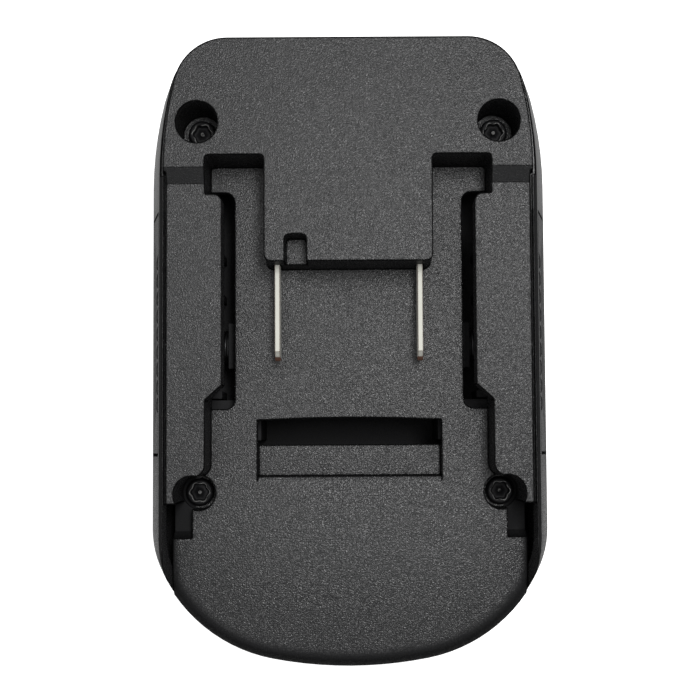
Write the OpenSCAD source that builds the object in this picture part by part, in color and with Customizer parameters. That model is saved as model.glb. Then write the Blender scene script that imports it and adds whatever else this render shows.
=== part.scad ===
// Slide-on battery adapter for cordless tools.
// Upper side (+Z): a slide battery enters towards +Y between two overhanging rails.
// Lower side: a shoe that slides into a tool, held by hooks on two side release buttons.
// Origin: middle of the outline, on the flat face of the shoe. Sizes in millimetres.

/* [Body] */
// Widest width, across the flanks at the seam
body_w = 77.8; // [76:0.2:84]
// Overall length, from the front curve to the rear edge
body_l = 120; // [118:1:130]
// Height of the top block above the shoe face
body_h = 44; // [43:0.5:48]
// Height of the widest line of the flanks above the shoe face
seam_z = 26; // [25.5:0.25:26.5]
// Wall thickness of cover and base
wall = 2.2; // [1.8:0.1:2.4]
// How far the flanks lean in between the seam and the rim
flank_in = 3.3; // [3.2:0.1:4]
// How far the rim of the base lies below the top block
rim_drop = 1.8; // [1.4:0.1:2.2]
// How far the underside is drawn in from the widest line
under_in = 7; // [5:0.5:7.5]
// Radius of the front curve in plan
front_r = 80; // [70:1:100]
// Radius of the front corners in plan
corner_r = 30.4; // [29:0.2:32]
// Radius of the rear corners in plan
rear_r = 11; // [10.5:0.25:14]
// Radius of the slow curve of the flanks ahead of the rear corners
rear_side_r = 73; // [60:1:90]
// Rounded edge along the front of the cover
edge_r = 3.8; // [3:0.2:4.4]

/* [Battery side] */
// Depth of the battery channel below the top block
channel_depth = 13; // [12.5:0.25:13.5]
// How far the rails lie below the top block
rail_drop = 1.2; // [0.8:0.1:1.6]
// Clear width between the rail overhangs
over_w = 47.6; // [46:0.2:50]
// Clear width between the rail walls
rail_gap = 54; // [53:0.2:55]
// Thickness of the rail overhangs
over_h = 5.4; // [4:0.2:6.4]
// Front end of the overhangs
over_front_y = -5.7; // [-8:0.1:0]
// Rear end of the overhangs
over_rear_y = 30.4; // [28:0.1:31]
// Front end of the rails
rail_front_y = -27.9; // [-28.6:0.1:-27]
// Front end of the slots under the overhangs
slot_front_y = -9.9; // [-12:0.1:-6]
// Width of the slots that shows inside the overhangs
slot_show = 1.5; // [0.5:0.1:2.5]
// Width of the tongue
tongue_w = 31.8; // [31.4:0.2:34]
// Front face of the tongue
tongue_y = 17.4; // [15:0.2:19]
// Front face of the top block
block_y = 37.6; // [37:0.1:38]
// Width of the latch pocket
latch_w = 35.8; // [30:0.2:38]
// Rear edge of the latch pocket
latch_y = -12.1; // [-13:0.1:-11]
// Length of the deep slot of the latch pocket
latch_slot = 4.8; // [4.2:0.1:6]
// Length of the shelf of the latch pocket
latch_shelf = 6.1; // [4:0.1:6.4]
// Depth of that shelf below the floor
latch_drop = 4; // [3:0.1:4.4]

/* [Blades] */
// Distance between the two power blades
blade_pitch = 27.3; // [26:0.1:27.4]
// Thickness of a blade
blade_t = 1; // [0.8:0.1:1.2]
// Height of a blade
blade_h = 5.5; // [5:0.1:6]
// Height of the blades above the floor
blade_lift = 1.5; // [1.2:0.1:2]
// Length of a blade ahead of the tongue
blade_reach = 18.2; // [14:0.2:22]

/* [Screws] */
// Head diameter of the case screws
head_d = 5.5; // [5:0.1:5.8]
// Head height of the case screws
head_h = 2.2; // [1.8:0.1:2.6]
// Shank diameter of the case screws
screw_d = 3; // [2.5:0.1:3.2]
// Distance of the rear case screws from the middle
rear_screw_x = 28.5; // [27.6:0.1:28.8]
// Distance of the rear case screws from the rear edge
rear_screw_in = 16.1; // [15:0.1:17]
// Depth of the rear screw heads below the top block
rear_head_drop = 11; // [10.5:0.1:11.5]
// Shank length of the rear case screws
rear_screw_l = 14; // [10:0.5:15]
// Distance of the front case screws from the middle
front_screw_x = 29.5; // [29.2:0.1:29.6]
// Place of the front case screws along the body
front_screw_y = -26.1; // [-26.3:0.1:-25.7]
// Depth of the front screw heads below the top block
front_head_drop = 16.4; // [16:0.1:16.8]
// Shank length of the front case screws
front_screw_l = 9; // [7:0.5:10]
// Shank diameter of the small screws inside
small_screw_d = 2.2; // [2:0.1:2.5]

/* [Shoe] */
// Height of the shoe under the body
shoe_h = 10; // [9.8:0.1:10.4]
// Width across the shoe's flanges
flange_w = 55; // [52:0.5:57]
// Thickness of the shoe's flanges
flange_t = 4; // [3:0.1:4.1]
// Width of the shoe's neck
neck_w = 46; // [45:0.2:46.4]
// Front end of the shoe
shoe_front_y = -46; // [-48:0.5:-44]
// Rear end of the shoe, where the tool's blades enter
shoe_rear_y = 44; // [43.5:0.1:46]
// Wall thickness of the shoe
shoe_wall = 2; // [1.6:0.1:2.2]

/* [Buttons] */
// Length of a release button
button_l = 45.8; // [44:0.2:46]
// Middle of the buttons along the body
button_y = 4.3; // [4.2:0.1:5.5]
// Travel of a button
travel = 2.5; // [2:0.1:2.6]
// Number of grip notches on a button
notches = 9; // [5:1:11]
// Distance between the grip notches
notch_pitch = 3.4; // [2.8:0.1:3.8]
// Middle of the hooks along the body
hook_y = -12; // [-13:0.1:-11]
// Width of a hook
hook_w = 8; // [6:0.2:9]

/* [Springs] */
// Mean diameter of the button springs
spring_d = 5.8; // [5.4:0.1:6.4]
// Wire diameter of the button springs
spring_wire = 0.7; // [0.5:0.05:0.8]
// Turns of a button spring
spring_turns = 6; // [4:1:7]

/* [Contacts and leads] */
// Thickness of the contact clips' sheet
clip_t = 0.5; // [0.4:0.05:0.6]
// Height of the contact clips
clip_h = 5; // [4:0.1:5.4]
// Width of the shoe's slots for the tool's blades
tool_slot = 2; // [1.6:0.1:2.2]
// Diameter of the leads
lead_d = 2.6; // [2:0.1:3]
// Length of the sleeves on the leads
sleeve_l = 4; // [3:0.1:4.2]
// Wall of the sleeves
sleeve_t = 0.4; // [0.3:0.05:0.6]

/* [Clearances] */
// Gap between the cover's edge and the base
fit = 0.15; // [0.1:0.01:0.2]
// Gap of the seam between apron and base
seam_gap = 0.15; // [0.1:0.01:0.3]
// Visible groove between the cover's edge and the rim
groove = 0.5; // [0.35:0.01:0.55]
// Gap round a button in its window
button_gap = 0.25; // [0.2:0.01:0.35]
// Gap beside the button's arms and hooks
guide_gap = 0.35; // [0.3:0.01:0.5]
// Radial gap round a screw's shank
screw_gap = 0.05; // [0.03:0.01:0.1]
// Gap round a blade in the tongue and the terminal block
blade_gap = 0.05; // [0.03:0.01:0.1]

/* [Hidden] */
$fn = 48;
half_w = body_w / 2;
rear_y = body_l / 2;
rear_room = rear_y - wall - block_y;
front_y = -body_l / 2;
rim_z = body_h - rim_drop;
rim_half = half_w - flank_in;
rim_w = 1.24;
rim_flat = 0.26;
rim_bevel = 0.8;
block_edge = 0.75;
block_past = 0.15;
rail_half = rim_half - rim_w;
floor_z = body_h - channel_depth;
floor_low = floor_z - wall;
rail_z = body_h - rail_drop;
over_z = rail_z - over_h;
plate_t = 3.4;
plate_low = rail_z - plate_t;
tub_gap = 0.3;
tub_top = plate_low - tub_gap;
groove_deep = 1;
rail_in = rail_gap / 2;
rail_back = rail_in + wall;
over_in = over_w / 2;
side_run = 26;
brow_r = 18;
brow_lean = 2.2;
front_a = 11;
arc_steps = 14;
slow_steps = 5;
slope_step = 15;
cut = 0.1;
bite = 1;
far = 100;

// Ramp between the rails and the top block, and the step in the cover's edge beside it
ramp_y = 32.3;
ramp_l = 3;
step_past = 2.2;
step_y = ramp_y + step_past;
notch_corner_r = 0.8;

// Rails and latch pocket
over_r = 1.6;
over_chamfer = 0.9;
nose_r = 2.3;
nose_bite = 0.2;
latch_slope = 1.3;
latch_lead = 0.4;
latch_y1 = latch_y - latch_slot;
latch_y0 = latch_y1 - latch_shelf;
latch_z = floor_z - latch_drop;
latch_bow = 0.4;
bow_steps = 12;
slot_r = 1.9;
slot_past = 2.1;

// Apron: the front of the cover, between the side walls of the base, with a pocket ahead of each rail
apron_y = rail_front_y - 7;
pocket_x = 30.6;
pocket_wall = 1.2;
pocket_slope = 1.2;
pocket_deep = 4;
pocket_z = floor_z - pocket_deep;
room_lean = 0.45;

// Tongue and blades
tongue_wall = 1.5;
tongue_front = 2;
tongue_in = tongue_w / 2 - tongue_wall;
tongue_r = 1.3;
top_t = 2.4;
blade_x = blade_pitch / 2;
blade_z0 = floor_z + blade_lift;
blade_z1 = blade_z0 + blade_h;
blade_zm = (blade_z0 + blade_z1) / 2;
blade_tip = 1.6;
blade_step = 0.8;
blade_play = 0.1;
key_x0 = -12;
key_x1 = -7.9;
key_l = 5.1;
key_drop = 6.5;
key_wall = 1;
key_skin = 0.5;
key_r = 1;

// Terminal block between the blades, inside the tongue
tb_set = 7.6;
tb_l = 11;
tb_y0 = tongue_y + tb_set;
tb_y1 = tb_y0 + tb_l;
tb_half = tongue_in - fit;
tb_z0 = blade_z0 - 1.3;
tb_z1 = blade_z1 + 1.6;
tb_screw_x = 6;
tb_screw_y = (tb_y0 + tb_y1) / 2;
tb_boss_z = tb_z0 + 3;
tb_base = 2;
tail_y = tb_y1 + rear_room / 4;

// Small screws and their bosses
small_head_d = 4.2;
small_head_h = 1.6;
small_boss_d = 5;
small_boss_gap = 0.15;
tb_screw_l = 7.6;
cc_screw_l = 5.8;

// Case screws, wells and bosses
rear_screw_y = rear_y - rear_screw_in;
rear_well_d = 7.9;
front_well_d = 6.8;
rear_seat_z = body_h - rear_head_drop - head_h;
front_seat_z = body_h - front_head_drop - head_h;
rear_boss_z = rear_seat_z - 3.8;
front_boss_z = front_seat_z - 2;
rear_boss_r = 4.8;
front_boss_r = 5.1;
base_boss_r = 4;
pilot_r = screw_d / 2 + screw_gap;
through_r = screw_d / 2 + 4 * screw_gap;
small_pilot_r = small_screw_d / 2 + screw_gap;
small_through_r = small_screw_d / 2 + 2 * screw_gap;
hole_spare = 0.5;

// Shoe, tool contacts
neck_half = neck_w / 2;
shoe_in = neck_half - shoe_wall;
shoe_floor = shoe_wall;
stop_l = 5;
shoe_r = 3;
cc_half = shoe_in - fit;
cc_y1 = shoe_rear_y - shoe_wall - fit;
cc_l = 13;
cc_y0 = cc_y1 - cc_l;
cc_z1 = shoe_h - 1;
cc_screw_x = 5;
cc_screw_y = (cc_y0 + cc_y1) / 2;
cc_boss_z = shoe_floor + 3.5;
clip_root = 0.65;
clip_throat = 0.3;
clip_mouth = 0.9;
clip_x = blade_x - blade_t / 2 - clip_root;
clip_y0 = cc_y0 + 1;
clip_y1 = cc_y1 - 0.6;
clip_z0 = shoe_floor + 0.6;
clip_z1 = clip_z0 + clip_h;
clip_room = 0.3;
clip_bay = clip_mouth + clip_t + clip_room;
clip_straight = 6;
clip_flare = 2.6;
slot_y0 = clip_y0 + 1;
slot_over = 0.2;
tab_l = 4;
tab_z = cc_z1 + 4;

// Release buttons: window, face, flange, arms and hook
sill = 0.4;
lintel = 0.2;
window_z0 = seam_z + sill;
window_z1 = plate_low - lintel;
face_z0 = window_z0 + button_gap;
face_z1 = window_z1 - button_gap;
face_y0 = button_y - button_l / 2;
face_y1 = button_y + button_l / 2;
face_t = 2;
lip = 1.4;
lip_t = 1.4;
lip_room = 0.6;
lip_x = rail_half + fit - guide_gap;
lip_y0 = face_y0 - lip;
lip_y1 = face_y1 + lip;
lip_z0 = seam_z - 2;
lip_z1 = face_z1 - guide_gap;
arm_t = 4;
arm_room = 0.1;
arm_z1 = latch_z - wall - guide_gap - arm_room;
arm_z0 = arm_z1 - arm_t;
arm_root = lip_z0 + 2;
leg_room = 0.6;
leg_t = 2.8;
leg_x1 = shoe_in - leg_room;
leg_x0 = leg_x1 - leg_t;
release_margin = 0.2;
hook_x = neck_half + travel - release_margin;
hook_play = 0.2;
hook_z0 = flange_t + guide_gap;
hook_z1 = shoe_h - guide_gap - hook_play;
hook_bevel = 4.5;
guide_y = 17;
guide_w = 6;
guide_x = rail_in - 1.1;
rib_t = 1.5;
rib_x0 = rail_in - 1.6;
rib_x1 = 30;
rib_z = arm_z1 - 0.5;
notch_r = 1.5;
notch_deep = 0.9;
notch_tilt = 24;
notch_run = 8;
notch_over = 4;

// Springs between base and buttons
spring_y = button_y - 1.5;
spring_z = (arm_z0 + arm_z1) / 2;
seat_x = neck_half + 1;
seat_t = 1.6;
seat_w = 9;
seat_z = rib_z + 1;
spring_touch = 0.05;
spring_x0 = seat_x + spring_touch;
spring_x1 = lip_x - lip_t - spring_touch;
peg_play = 0.9;
peg_d = spring_d - spring_wire - peg_play;
peg_apart = 1.4;
peg_l = (spring_x1 - spring_x0 - travel - peg_apart) / 2;
curl_rings = 8;
wire_sides = 6;

// Leads, from the blades' tails to the contact clips
lead_touch = 0.02;
lead_x = blade_x - blade_t / 2 - lead_d / 2 - lead_touch;
lead_sides = 8;
sleeve_off = 0.4;
lead_bend = rear_room / 5;
lead_back = 0.31;
lead_rear_y = block_y + rear_room * (1 - lead_back);
lead_rise = 13;
lead_low_z = cc_z1 + lead_rise;
lead_y = clip_y0 + tab_l / 2;
lead_end = 1;
lead_route = [
    [lead_x, tb_y1 + lead_end, blade_zm],
    [lead_x, lead_rear_y, blade_zm],
    [lead_x, lead_rear_y, lead_low_z],
    [lead_x, lead_y, lead_low_z],
    [lead_x, lead_y, cc_z1 + lead_end]
];

// Vectors, arcs and outlines

function unit(v) = v / norm(v);

function arc(c, r, a0, a1, n, first = 0) =
    [for (i = [first:n]) let (a = a0 + (a1 - a0) * i / n) c + r * [cos(a), sin(a)]];

// Centre of the right front corner, inside the front curve
corner_c = [0, front_y + front_r] + (front_r - corner_r) * [sin(front_a), -cos(front_a)];

// Right half of the body's outline with half width w, drawn in by d, and by e more at the front:
// rear corner, flank, brow between flank and front corner, front corner, front
function half_outline(w, d, e) =
    let (
        a = asin((side_run - rear_r) / (rear_side_r - rear_r)),
        side_c = [w - rear_side_r, rear_y - side_run],
        rear_c = side_c + (rear_side_r - rear_r) * [cos(a), sin(a)],
        reach = corner_r - e - brow_r,
        b = acos(min(1, (w - brow_r - corner_c[0]) / reach)),
        brow_c = corner_c + reach * [cos(b), -sin(b)]
    )
    concat(
        arc(rear_c, rear_r - d, 90, a, arc_steps),
        arc(side_c, rear_side_r - d, a, 0, slow_steps, 1),
        arc(brow_c, brow_r - d, 0, -b, slow_steps),
        arc(corner_c, corner_r - e - d, -b, front_a - 90, arc_steps, 1),
        arc([0, front_y + front_r], front_r - e - d, front_a - 90, -90, slow_steps, 1)
    );

function outline(w, d, e = 0) =
    let (h = half_outline(w, d, e), n = len(h))
    concat(h, [for (i = [n - 2:-1:0]) [-h[i][0], h[i][1]]]);

function ring(w, d, z, e = 0) = [for (p = outline(w, d, e)) [p[0], p[1], z]];

// Part of the way from the seam up to the rim, half width of the flank, and lean of its front end at height z
function up(z) = (z - seam_z) / (rim_z - seam_z);
function flank_x(z) = half_w - flank_in * up(z);
function lean(z) = brow_lean * up(z);

// Rings of the flanks above the seam, drawn in by d, with the bevelled rim on top
function flank_rings(d) = [
    ring(flank_x(rim_z - rim_bevel), d, rim_z - rim_bevel, lean(rim_z - rim_bevel)),
    ring(rail_half + groove + rim_flat, d, rim_z, brow_lean)
];

// Rings of the rounded underside, drawn in by d, from the bottom up to the seam: a quarter of an ellipse,
// with a ring at each equal turn of its slope
function under_rings(d) =
    let (rise = seam_z - shoe_h - d)
    [for (turn = [0:slope_step:90])
        let (a = atan2(rise * cos(turn), under_in * sin(turn)))
        ring(half_w, d + under_in * (1 - cos(a)), seam_z - rise * sin(a))];

// Rings of the apron's rounded edge, drawn in by d, from the seam up
function apron_rings(d) =
    concat(
        [ring(half_w, d, seam_z + (d > 0 ? -1 : seam_gap))],
        [for (a = [0:slope_step:90])
            ring(half_w, d + (edge_r - d) * (1 - cos(a)), floor_z - edge_r + (edge_r - d) * sin(a))]
    );

// Shapes

// Solid between rings of equal count, given clockwise from above, from the lowest up
module loft(rings) {
    n = len(rings[0]);
    m = len(rings);
    polyhedron(
        points = [for (r = rings) each r],
        faces = concat(
            [[for (i = [n - 1:-1:0]) i]],
            [for (j = [0:m - 2], i = [0:n - 1])
                each let (a = j * n + i, b = j * n + (i + 1) % n) [[a, b, b + n], [a, b + n, a + n]]],
            [[for (i = [0:n - 1]) (m - 1) * n + i]]
        )
    );
}

// Tube of radius r along points p, with a normal at each point
module tube(p, normals, r, sides) {
    m = len(p);
    tangents = [for (i = [0:m - 1]) unit(p[min(i + 1, m - 1)] - p[max(i - 1, 0)])];
    polyhedron(
        points = [for (i = [0:m - 1], k = [0:sides - 1])
            p[i] + r * (cos(360 * k / sides) * normals[i]
                + sin(360 * k / sides) * unit(cross(tangents[i], normals[i])))],
        faces = concat(
            [[for (k = [0:sides - 1]) k]],
            [for (i = [0:m - 2], k = [0:sides - 1])
                each let (a = i * sides + k, b = i * sides + (k + 1) % sides)
                    [[a, a + sides, b + sides], [a, b + sides, b]]],
            [[for (k = [sides - 1:-1:0]) (m - 1) * sides + k]]
        )
    );
}

// Extrudes a drawing in X and Z along Y
module along_y(y0, y1) {
    translate([0, y1, 0]) rotate([90, 0, 0]) linear_extrude(y1 - y0) children();
}

// Extrudes a drawing in Y and Z along X
module along_x(x0, x1) {
    translate([x0, 0, 0]) rotate([90, 0, 90]) linear_extrude(x1 - x0) children();
}

module box(low, high) {
    translate(low) cube(high - low);
}

module both_sides() {
    children();
    mirror([1, 0, 0]) children();
}

module post(x, y, z0, z1, r) {
    translate([x, y, z0]) cylinder(r = r, h = z1 - z0);
}

// Strip of half width h from y0 to y1 with rounded corners at its y0 end
module tongue_plan(h, y0, y1, r) {
    translate([-h, y0 + r]) square([2 * h, y1 - y0 - r]);
    translate([r - h, y0]) square([2 * (h - r), y1 - y0]);
    for (s = [-1, 1]) translate([s * (h - r), y0 + r]) circle(r);
}

// Case halves

// Outline of the cover above the seam's ledge, grown outwards by g, and its top block by more
module cover_plan(g, more = 0) {
    intersection() {
        translate([0, block_edge]) polygon(outline(rim_half, block_edge - g - more));
        translate([-far, step_y - g]) square([2 * far, far]);
    }
    translate([-rail_half - g, front_y - bite]) square([2 * (rail_half + g), step_y - front_y + 2 * bite]);
}

// Right rail from above: outer edge, nose at the front screw, wall, chamfer, overhang
module rail_plan() {
    step = rail_in - over_in;
    nose = [rail_in + nose_r, front_screw_y + front_well_d / 2 - nose_bite + nose_r];
    polygon(concat(
        [[rail_half, ramp_y + bite], [rail_half, rail_front_y], [nose[0], rail_front_y]],
        arc(nose, nose_r, 270, 180, 6),
        [[rail_in, over_front_y - step * over_chamfer], [over_in, over_front_y]],
        arc([over_in + over_r, over_rear_y - over_r], over_r, 180, 90, 6),
        [[rail_in, over_rear_y], [rail_in, ramp_y + bite]]
    ));
}

module rail_right() {
    difference() {
        translate([0, 0, floor_low]) linear_extrude(rail_z - floor_low) rail_plan();
        box([over_in - bite, over_front_y - far, floor_z], [rail_in, over_rear_y + bite, over_z]);
    }
    box([rail_in, over_rear_y, floor_low], [rail_back, block_y + wall, plate_low + bite]);
}

module ramp_cut() {
    along_x(rail_in, far)
        polygon([
            [ramp_y - bite, rail_z], [ramp_y, rail_z], [ramp_y + ramp_l, body_h],
            [ramp_y + ramp_l, body_h + bite], [ramp_y - bite, body_h + bite]
        ]);
}

module top_block() {
    difference() {
        intersection() {
            translate([0, 0, plate_low]) linear_extrude(body_h - plate_low) cover_plan(0);
            box([-far, ramp_y, 0], [far, far, far]);
        }
        box([-rail_in, ramp_y - bite, 0], [rail_in, block_y, far]);
        both_sides() ramp_cut();
    }
    box([-rail_back, block_y, floor_low], [rail_back, block_y + wall, plate_low + bite]);
}

module cover_floor() {
    box([-rail_half, apron_y - cut, floor_low], [rail_half, block_y + cut, floor_z]);
    difference() {
        intersection() {
            loft(apron_rings(0));
            box([-rail_half, -far, 0], [rail_half, apron_y, far]);
        }
        intersection() {
            loft(apron_rings(wall));
            box([wall - rail_half, -far, 0], [rail_half - wall, far, far]);
        }
    }
}

// Rounds the two rear corners of the notch beside the tongue
module notch_corners() {
    r = notch_corner_r;
    translate([0, block_y - r, floor_low]) linear_extrude(body_h - floor_low) {
        difference() {
            translate([tongue_w / 2 - cut, 0]) square(r + cut);
            translate([tongue_w / 2 + r, 0]) circle(r);
        }
        difference() {
            translate([rail_in - r, 0]) square(r + cut);
            translate([rail_in - r, 0]) circle(r);
        }
    }
}

// Hollows under the top block, in the tongue and behind the rail walls
module cover_hollows() {
    intersection() {
        translate([0, 0, floor_low - bite]) linear_extrude(body_h - top_t - floor_low + bite)
            translate([0, block_edge]) polygon(outline(rim_half, block_edge + wall));
        box([-far, block_y + wall, 0], [far, far, far]);
    }
    box([-tongue_in, tongue_y + tongue_front, 0], [tongue_in, block_y + wall + bite, body_h - top_t]);
    both_sides()
        box([rail_back, lip_y0 - lip_room, 0], [far, block_y + wall + cut, plate_low]);
}

// Latch pocket: sloped lead-in, shelf, deep slot with a bowed rear edge
module latch_pocket_cut() {
    translate([0, 0, latch_z - wall - bite]) linear_extrude(latch_drop + wall + 2 * bite)
        polygon([for (i = [0:bow_steps])
            let (t = 2 * i / bow_steps - 1)
                [t * latch_w / 2, latch_y - cut + (latch_bow + cut) * (1 - t * t)]]);
    along_x(-latch_w / 2, latch_w / 2)
        polygon([
            [latch_y0 - latch_slope, floor_z + bite], [latch_y0 - latch_slope, floor_z],
            [latch_y0, floor_z - latch_lead], [latch_y0, latch_z], [latch_y1, latch_z],
            [latch_y1, latch_z - wall - bite],
            [latch_y, latch_z - wall - bite], [latch_y, floor_z + bite]
        ]);
}

module latch_pocket_walls() {
    box(
        [-latch_w / 2 - wall, latch_y0 - latch_slope - wall, latch_z - wall],
        [latch_w / 2 + wall, latch_y1, floor_z - cut]
    );
}

// Slot in the floor under the overhang, rounded at its inner corners
module rail_slot() {
    x0 = over_in - slot_show;
    y1 = over_rear_y + slot_past;
    translate([0, 0, floor_low - bite]) linear_extrude(wall + 2 * bite) {
        translate([x0 + slot_r, slot_front_y]) square([rail_in - x0 - slot_r, y1 - slot_front_y]);
        translate([x0, slot_front_y + slot_r]) square([rail_in - x0, y1 - slot_front_y - 2 * slot_r]);
        for (y = [slot_front_y + slot_r, y1 - slot_r]) translate([x0 + slot_r, y]) circle(slot_r);
    }
}

// Pocket ahead of a rail, with a steep front wall
module end_pocket() {
    along_x(pocket_x, rail_half + bite)
        polygon([
            [rail_front_y, pocket_z], [rail_front_y, floor_z + cut], [apron_y, floor_z + cut],
            [apron_y, floor_z], [apron_y + pocket_slope, pocket_z]
        ]);
}

module end_pocket_wall() {
    box(
        [pocket_x - pocket_wall, apron_y - pocket_wall, pocket_z - pocket_wall],
        [rail_half, rail_front_y + pocket_wall, floor_z - cut]
    );
}

// Key notch in the tongue's front edge, rounded at its rear corners
module key_notch() {
    translate([(key_x0 + key_x1) / 2, 0, body_h - key_drop]) linear_extrude(key_drop + bite)
        mirror([0, 1, 0]) tongue_plan((key_x1 - key_x0) / 2, -tongue_y - key_l, bite - tongue_y, key_r);
}

module top_cover() {
    color([0.2, 0.2, 0.21])
    difference() {
        union() {
            difference() {
                union() {
                    top_block();
                    translate([0, 0, floor_low]) linear_extrude(body_h - floor_low)
                        tongue_plan(tongue_w / 2, tongue_y, block_y + cut, tongue_r);
                    both_sides() rail_right();
                    cover_floor();
                }
                cover_hollows();
            }
            both_sides() {
                notch_corners();
                end_pocket_wall();
                post(rear_screw_x, rear_screw_y, rear_boss_z, body_h - top_t / 2, rear_boss_r);
                intersection() {
                    post(front_screw_x, front_screw_y, front_boss_z, floor_z, front_boss_r);
                    box([0, -far, 0], [rail_half, lip_y0 - lip_room, far]);
                }
                post(tb_screw_x, tb_screw_y, tb_boss_z, body_h - top_t / 2, small_boss_d / 2);
            }
            latch_pocket_walls();
            box(
                [key_x0 - key_wall, tongue_y + key_skin, body_h - key_drop - key_wall],
                [key_x1 + key_wall, tongue_y + key_l + key_wall, body_h - key_skin]
            );
        }
        both_sides() {
            post(rear_screw_x, rear_screw_y, rear_seat_z, far, rear_well_d / 2);
            post(rear_screw_x, rear_screw_y, 0, far, through_r);
            post(front_screw_x, front_screw_y, front_seat_z, far, front_well_d / 2);
            post(front_screw_x, front_screw_y, 0, far, through_r);
            post(tb_screw_x, tb_screw_y, 0, tb_z0 + tb_screw_l + hole_spare, small_pilot_r);
            rail_slot();
            end_pocket();
            box(
                [blade_x - blade_t / 2 - blade_gap, tongue_y - bite, blade_z0 - blade_gap],
                [blade_x + blade_t / 2 + blade_gap, tongue_y + tongue_front + bite, blade_z1 + blade_gap]
            );
        }
        latch_pocket_cut();
        key_notch();
    }
}

// Room for the apron between the side walls of the base, which lean out above the apron
module apron_room() {
    x = rail_half + fit;
    box([-x, -far, seam_z], [x, apron_y + bite, far]);
    both_sides() along_y(-far, rail_front_y)
        polygon([[0, floor_z], [x, floor_z], [x + room_lean, rim_z], [x + room_lean, far], [0, far]]);
}

module base_tub() {
    difference() {
        loft(concat(under_rings(0), flank_rings(0)));
        apron_room();
        loft(concat(under_rings(wall), [ring(rail_half + fit + wall, wall, tub_top, lean(tub_top))]));
        translate([0, 0, tub_top - cut]) linear_extrude(far) cover_plan(fit);
        translate([0, 0, rim_z - groove_deep]) linear_extrude(far) cover_plan(groove, block_past);
    }
}

// Shoe for the tool: flanges, neck and the stop at the front end
module shoe() {
    w = flange_w / 2;
    linear_extrude(flange_t)
        mirror([0, 1, 0]) tongue_plan(w, -shoe_rear_y, -shoe_front_y, shoe_r);
    box([-neck_half, shoe_front_y, 0], [neck_half, shoe_rear_y, shoe_h + bite]);
    box([-w, shoe_front_y, 0], [w, shoe_front_y + stop_l, shoe_h + bite]);
}

// Ribs beside a button arm of width w at y, which guide it
module guide_ribs(y, w) {
    for (s = [-1, 1])
        translate([0, y + s * (w / 2 + guide_gap + rib_t / 2), 0])
            box([rib_x0, -rib_t / 2, shoe_h + bite], [rib_x1, rib_t / 2, rib_z]);
}

module spring_peg(x0, x1) {
    translate([x0, spring_y, spring_z]) rotate([0, 90, 0]) cylinder(d = peg_d, h = x1 - x0);
}

module spring_seat() {
    box(
        [seat_x - seat_t, spring_y - seat_w / 2, shoe_h + bite],
        [seat_x, spring_y + seat_w / 2, seat_z]
    );
    spring_peg(seat_x - cut, seat_x + peg_l);
}

module base_shell() {
    color([0.17, 0.17, 0.18])
    difference() {
        union() {
            difference() {
                union() {
                    base_tub();
                    shoe();
                }
                box(
                    [-shoe_in, shoe_front_y + stop_l + shoe_wall, shoe_floor],
                    [shoe_in, shoe_rear_y - shoe_wall, seam_z]
                );
            }
            intersection() {
                loft(under_rings(cut));
                both_sides() {
                    guide_ribs(hook_y, hook_w);
                    guide_ribs(guide_y, guide_w);
                    spring_seat();
                    post(front_screw_x, front_screw_y, shoe_h + bite, front_boss_z, base_boss_r);
                }
            }
            both_sides() {
                intersection() {
                    loft(concat(under_rings(cut), flank_rings(cut)));
                    post(rear_screw_x, rear_screw_y, shoe_h + bite, rear_boss_z, base_boss_r);
                }
                post(cc_screw_x, cc_screw_y, shoe_floor - cut, cc_boss_z, small_boss_d / 2);
            }
        }
        both_sides() {
            box(
                [rail_in + bite, face_y0 - button_gap, window_z0],
                [far, face_y1 + button_gap, window_z1]
            );
            box(
                [leg_x0, hook_y - hook_w / 2 - guide_gap, flange_t],
                [neck_half + bite, hook_y + hook_w / 2 + guide_gap, shoe_h]
            );
            box([clip_x - tool_slot / 2, slot_y0, -bite], [clip_x + tool_slot / 2, far, clip_z1 + slot_over]);
            post(rear_screw_x, rear_screw_y, rear_seat_z - rear_screw_l - hole_spare, far, pilot_r);
            post(front_screw_x, front_screw_y, front_seat_z - front_screw_l - hole_spare, far, pilot_r);
            post(cc_screw_x, cc_screw_y, cc_z1 - cc_screw_l - hole_spare, far, small_pilot_r);
        }
    }
}

// Release buttons

// One grip notch: a tilted round cut that runs out down the face
module grip_notch(y) {
    translate([flank_x(face_z1) + notch_r - notch_deep, y, face_z1])
        rotate([0, -notch_tilt, 0])
            translate([0, 0, -notch_run]) cylinder(r = notch_r, h = notch_run + notch_over);
}

module button_face() {
    difference() {
        union() {
            along_y(face_y0, face_y1)
                polygon([
                    [lip_x - lip_t, face_z0], [flank_x(face_z0), face_z0],
                    [flank_x(face_z1), face_z1], [lip_x - lip_t, face_z1]
                ]);
            box([lip_x - lip_t, lip_y0, lip_z0], [lip_x, lip_y1, lip_z1]);
        }
        along_y(face_y0 + face_t, face_y1 - face_t)
            polygon([
                [0, face_z0 + face_t], [flank_x(face_z0 + face_t) - face_t, face_z0 + face_t],
                [flank_x(face_z1 - face_t) - face_t, face_z1 - face_t], [0, face_z1 - face_t]
            ]);
        for (i = [0:notches - 1]) grip_notch(button_y + (i - (notches - 1) / 2) * notch_pitch);
    }
}

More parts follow.
